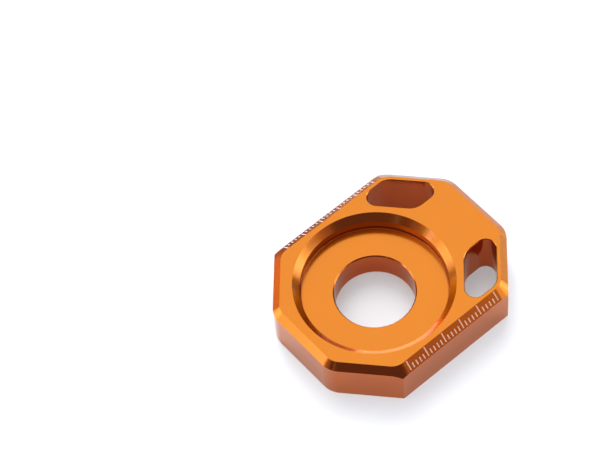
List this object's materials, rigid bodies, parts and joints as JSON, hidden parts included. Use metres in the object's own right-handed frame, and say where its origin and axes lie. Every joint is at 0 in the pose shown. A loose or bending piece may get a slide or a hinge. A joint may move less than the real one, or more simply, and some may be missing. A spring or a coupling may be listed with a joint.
{
  "type": "motorcycle chain adjuster",
  "caption": "Octagonal chain adjuster block in orange anodised aluminium, with an axle bore, a round washer recess, slanted slots and marked edges.",
  "frame": {"origin": "on the centre line of the axle bore, halfway between the base and the top face", "axes": "+Z along the axle bore, out of the washer recess; +X along the chain line, towards the slotted end; +Y across, towards one of the two marked long sides"},
  "size_m": [0.0514, 0.042, 0.0112],
  "materials": {
    "anodised_aluminium": "satin"
  },
  "bodies": {
    "root": {"adjuster_block": "anodised_aluminium"}
  },
  "joints": []
}
